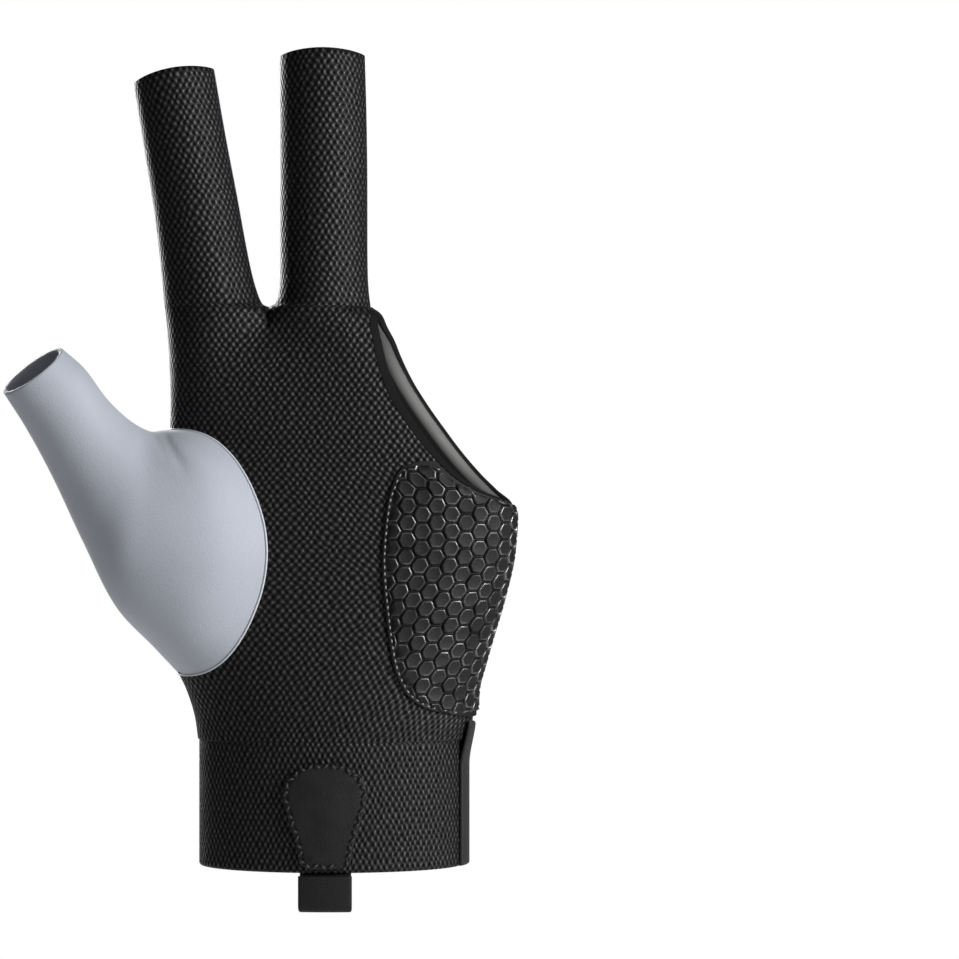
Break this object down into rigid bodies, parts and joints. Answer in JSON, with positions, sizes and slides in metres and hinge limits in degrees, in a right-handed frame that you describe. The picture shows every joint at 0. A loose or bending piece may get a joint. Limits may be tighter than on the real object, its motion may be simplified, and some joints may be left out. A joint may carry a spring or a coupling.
{
  "type": "billiard glove",
  "caption": "Open-fingertip billiard glove for the left hand: thumb, index and middle tubes, slanted opening for the other fingers, grip pad on the palm and a wrist strap.",
  "frame": {"origin": "centre of the wrist opening, in the plane of the cuff's lower edge", "axes": "+Z from the wrist to the fingers, +Y out of the back of the hand, -Y out of the palm, -X to the thumb"},
  "size_m": [0.1268, 0.0487, 0.2125],
  "materials": {
    "mesh_cloth": "matte open mesh knit",
    "stretch_cloth": "smooth matte stretch knit",
    "lining": "smooth matte",
    "silicone": "satin, raised hexagons",
    "leather": "soft grain",
    "webbing": "ribbed webbing"
  },
  "bodies": {
    "root": {"palm_panel": "mesh_cloth", "back_panel": "stretch_cloth", "thumb": "stretch_cloth", "cuff_palm": "mesh_cloth", "cuff_back": "stretch_cloth", "opening_facing": "lining", "grip_pad": "silicone", "pull_patch": "leather", "pull_ribbon": "webbing", "wrist_strap": "lining", "strap_binding": "lining"}
  },
  "joints": []
}
